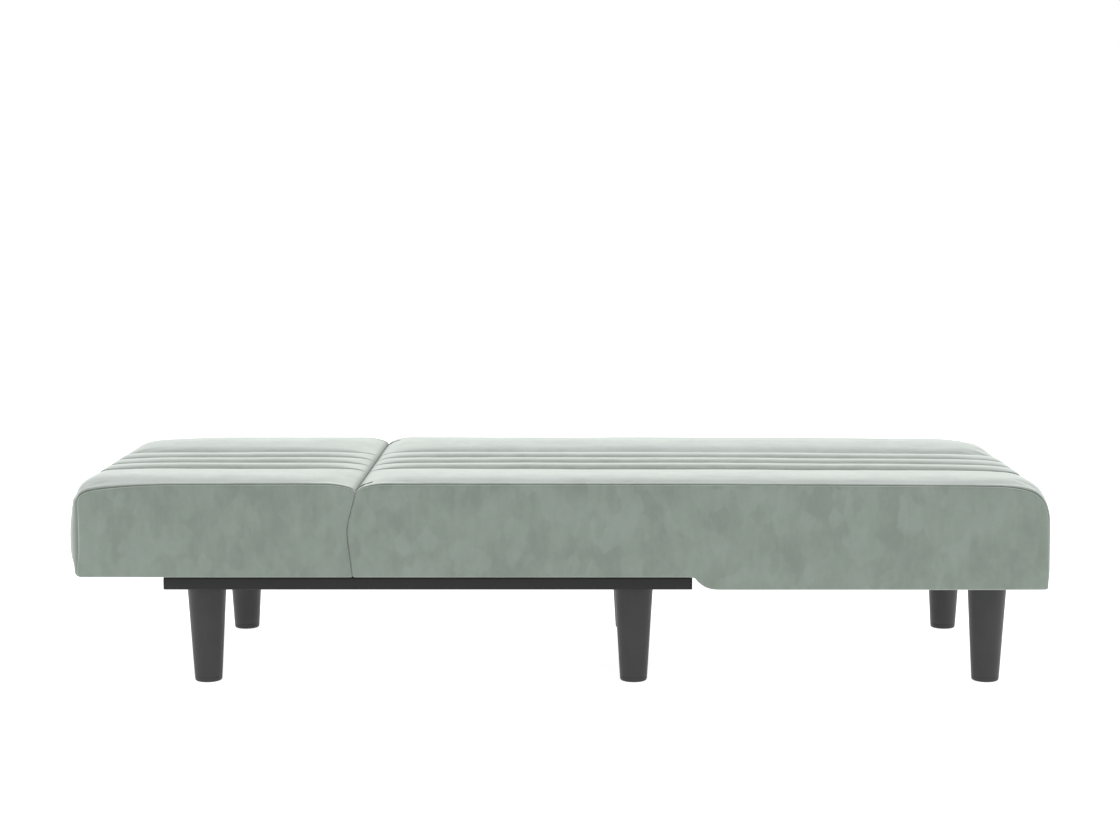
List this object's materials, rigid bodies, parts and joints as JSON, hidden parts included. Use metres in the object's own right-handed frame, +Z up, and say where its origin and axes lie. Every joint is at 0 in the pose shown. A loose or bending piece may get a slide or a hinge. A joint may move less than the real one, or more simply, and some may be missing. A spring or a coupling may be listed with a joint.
{
  "type": "adjustable daybed",
  "caption": "Velvet chaise daybed with channel-stitched top, a ratchet-hinged tilting head section, tapered legs and a steel tube base.",
  "frame": {"origin": "on the floor, under the middle of the bed lying flat", "axes": "+X along the length from the head section to the foot end, +Y across to the far side, +Z up"},
  "size_m": [1.4, 0.56, 0.311],
  "materials": {
    "velvet": "matte",
    "foam": "matte",
    "underside_lining": "matte",
    "timber": "matte",
    "black_steel": "satin",
    "zinc_steel": "satin",
    "spring_steel": "satin",
    "black_plastic": "matte"
  },
  "bodies": {
    "seat": {"base_bar_cap_foot_far": "black_plastic", "base_bar_cap_foot_near": "black_plastic", "base_bar_cap_head_far": "black_plastic", "base_bar_cap_head_near": "black_plastic", "base_bar_far": "black_steel", "base_bar_near": "black_steel", "base_cross_bar_head": "black_steel", "base_cross_bar_mid": "black_steel", "hinge_bracket_far": "zinc_steel", "hinge_bracket_near": "zinc_steel", "hinge_pin_far": "zinc_steel", "hinge_pin_near": "zinc_steel", "leg_foot_far": "black_plastic", "leg_foot_near": "black_plastic", "leg_head_far": "black_plastic", "leg_head_near": "black_plastic", "leg_mid_far": "black_plastic", "leg_mid_near": "black_plastic", "leg_plate_foot_far": "zinc_steel", "leg_plate_foot_near": "zinc_steel", "leg_plate_head_far": "zinc_steel", "leg_plate_head_near": "zinc_steel", "leg_plate_mid_far": "zinc_steel", "leg_plate_mid_near": "zinc_steel", "leg_stud_foot_far": "zinc_steel", "leg_stud_foot_near": "zinc_steel", "leg_stud_head_far": "zinc_steel", "leg_stud_head_near": "zinc_steel", "leg_stud_mid_far": "zinc_steel", "leg_stud_mid_near": "zinc_steel", "pawl_pin_far": "zinc_steel", "pawl_pin_near": "zinc_steel", "pawl_spring_far": "spring_steel", "pawl_spring_near": "spring_steel", "seat_cover": "velvet", "seat_cross_rail": "timber", "seat_dust_cover": "underside_lining", "seat_foam": "foam", "seat_leg_rail": "timber", "seat_rail_far": "timber", "seat_rail_foot_end": "timber", "seat_rail_hinge_end": "timber", "seat_rail_near": "timber", "seat_spring_1": "spring_steel", "seat_spring_2": "spring_steel", "seat_spring_3": "spring_steel", "seat_spring_4": "spring_steel"},
    "head": {"head_cover": "velvet", "head_dust_cover": "underside_lining", "head_foam": "foam", "head_rail_far": "timber", "head_rail_hinge_end": "timber", "head_rail_near": "timber", "head_rail_top_end": "timber", "head_spring_1": "spring_steel", "head_spring_2": "spring_steel", "hinge_arm_far": "zinc_steel", "hinge_arm_near": "zinc_steel"},
    "pawl_near": {"pawl_near": "zinc_steel"},
    "pawl_far": {"pawl_far": "zinc_steel"}
  },
  "joints": [
    {"name": "head_tilt", "type": "hinge", "parent": "seat", "child": "head", "pos_m": [-0.278, 0, 0.291], "axis": [0, 1, 0], "range_deg": [0, 65]},
    {"name": "pawl_near_swing", "type": "hinge", "parent": "seat", "child": "pawl_near", "pos_m": [-0.2356, -0.2416, 0.2681], "axis": [0, 1, 0], "range_deg": [0, 8], "stiffness_Nm_per_rad": 0.02},
    {"name": "pawl_far_swing", "type": "hinge", "parent": "seat", "child": "pawl_far", "pos_m": [-0.2356, 0.2416, 0.2681], "axis": [0, 1, 0], "range_deg": [0, 8], "stiffness_Nm_per_rad": 0.02}
  ]
}
